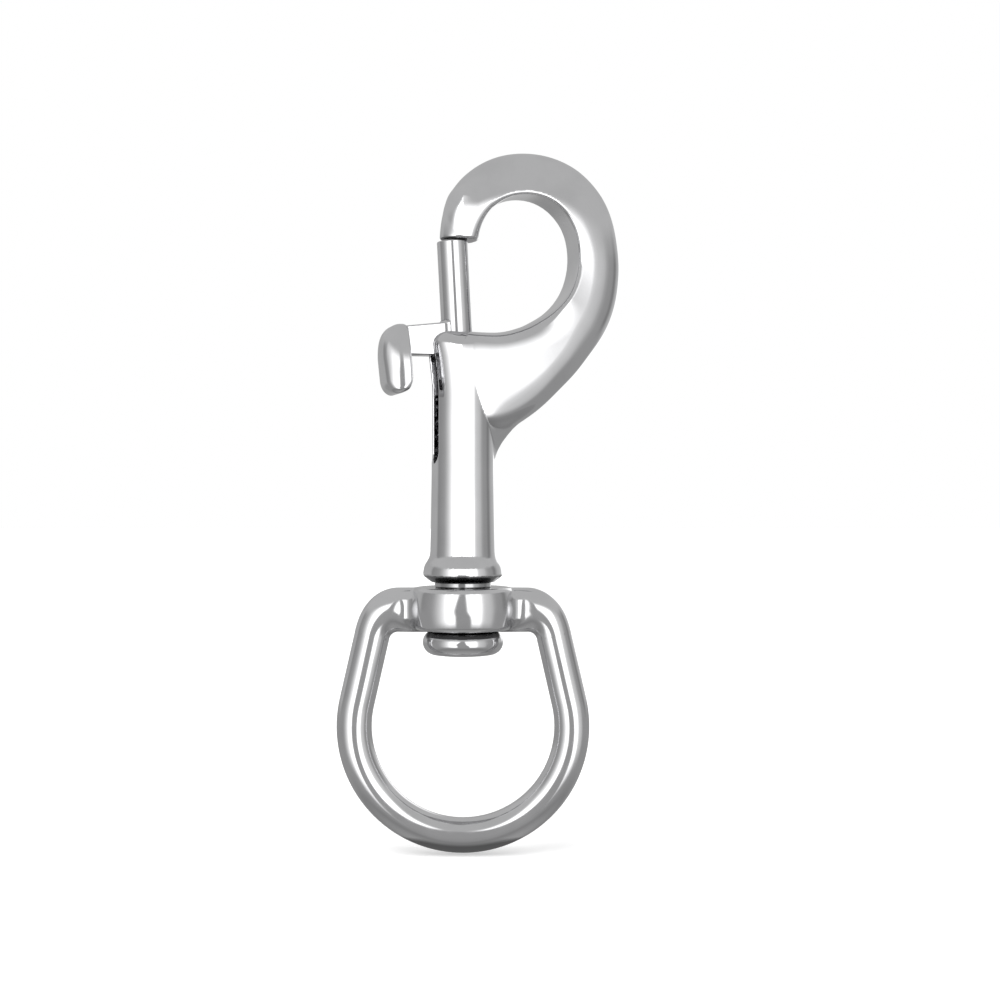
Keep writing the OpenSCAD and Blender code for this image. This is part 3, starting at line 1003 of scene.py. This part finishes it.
def make_tent():
    """Round wall of light, unseen by the camera."""
    turn = 2 * math.pi * np.arange(TENT_SIDES) / TENT_SIDES
    ring = np.stack([TENT_R * np.cos(turn), TENT_R * np.sin(turn)], axis=1)
    points = [(x, y, z) for z in (TENT_LOW, TENT_HIGH) for x, y in ring]
    faces = []
    for k in range(TENT_SIDES):
        after = (k + 1) % TENT_SIDES
        faces.append((k, after, TENT_SIDES + after, TENT_SIDES + k))
    mesh = bpy.data.meshes.new("light_tent")
    mesh.from_pydata(points, [], faces)
    tent = bpy.data.objects.new("light_tent", mesh)
    bpy.context.scene.collection.objects.link(tent)
    mesh.materials.append(tent_material())
    hide_from_camera(tent)


def hide_from_camera(obj):
    obj.visible_camera = False
    obj.visible_diffuse = False
    obj.visible_shadow = False


def make_front_card(piece):
    """Soft card behind the lens that only the snap's body mirrors."""
    data = bpy.data.lights.new("front_card", "AREA")
    data.shape = "RECTANGLE"
    data.size = CARD_WIDTH
    data.size_y = CARD_HEIGHT
    data.energy = CARD_LIGHT * math.pi * data.size * data.size_y
    card = bpy.data.objects.new("front_card", data)
    bpy.context.scene.collection.objects.link(card)
    card.location = CARD_PLACE
    card.rotation_euler = (math.pi / 2, 0, 0)
    hide_from_camera(card)
    lit = bpy.data.collections.new("front_card_lights")
    lit.objects.link(piece)
    card.light_linking.receiver_collection = lit


def make_floor():
    """White floor that the steel doesn't mirror."""
    mesh = bpy.data.meshes.new("floor")
    half = FLOOR_HALF
    level = CAD_BOUNDS[0][2] - FLOOR_DEPTH
    mesh.from_pydata([(-half, -half, level), (half, -half, level), (half, half, level),
                      (-half, half, level)], [], [(0, 1, 2, 3)])
    floor = bpy.data.objects.new("floor", mesh)
    bpy.context.scene.collection.objects.link(floor)
    mat = bpy.data.materials.new("floor_paint")
    mat.use_nodes = True
    shader = mat.node_tree.nodes["Principled BSDF"]
    shader.inputs["Base Color"].default_value = FLOOR_PAINT
    shader.inputs["Roughness"].default_value = 0.9
    shader.inputs["Specular IOR Level"].default_value = 0.0
    shader.inputs["Emission Color"].default_value = WHITE
    shader.inputs["Emission Strength"].default_value = FLOOR_GLOW
    mesh.materials.append(mat)
    floor.visible_glossy = False


def make_sun():
    """Lights the floor only."""
    data = bpy.data.lights.new("floor_sun", "SUN")
    data.angle = math.radians(50)
    data.energy = 1.2
    sun = bpy.data.objects.new("floor_sun", data)
    bpy.context.scene.collection.objects.link(sun)
    sun.rotation_euler = (math.radians(25), math.radians(-15), 0)
    sun.visible_glossy = False


def make_camera():
    data = bpy.data.cameras.new("camera")
    data.lens = 56.0
    data.sensor_width = 36.0
    data.clip_start = 0.005
    camera = bpy.data.objects.new("camera", data)
    bpy.context.scene.collection.objects.link(camera)
    camera.location = CAMERA_PLACE
    camera.rotation_euler = (math.pi / 2, 0.0, 0.0)
    bpy.context.scene.camera = camera


def main():
    scene = bpy.context.scene
    scene.view_settings.view_transform = "Standard"
    polished = steel("polished_stainless", PALE_TINT, (0.045, 0.09), EVEN_SCRATCHES, 1e-6, 4e-6)
    cast = steel("cast_stainless", PALE_TINT, (0.08, 0.15), EVEN_SCRATCHES, 1e-6, 7e-6)
    turned_mat = steel("turned_stainless", TURNED_TINT, (0.07, 0.13), RING_SCRATCHES, 1e-6, 1e-6)
    # The spring's dark tint is painted shade
    wire = steel("spring_wire_painted_shade", SHADED_WIRE_TINT, (0.16, 0.3), WIRE_SCRATCHES, 2e-6, 1e-6)
    plan = [
        (make_eye, "eye", "swivel_eye", "polished_steel", cast),
        (make_body, "snap", "snap_body", "polished_steel", polished),
        (make_stud, "snap", "swivel_stud", "turned_steel", turned_mat),
        (make_washer, "snap", "thrust_washer", "turned_steel", turned_mat),
        (make_bolt, "gate", "bolt", "turned_steel", turned_mat),
        (make_lever, "gate", "thumb_lever", "polished_steel", cast),
        (make_spring, "snap", "bolt_spring", "spring_steel", wire),
    ]
    made = {}
    for maker, body, node, slot, mat in plan:
        piece = maker()
        piece.data.materials.append(mat)
        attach(piece, body)
        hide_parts(node)
        made[node] = piece
    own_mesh(made["bolt_spring"])
    make_world()
    make_floor()
    make_sun()
    make_tent()
    make_front_card(made["snap_body"])
    make_camera()


main()
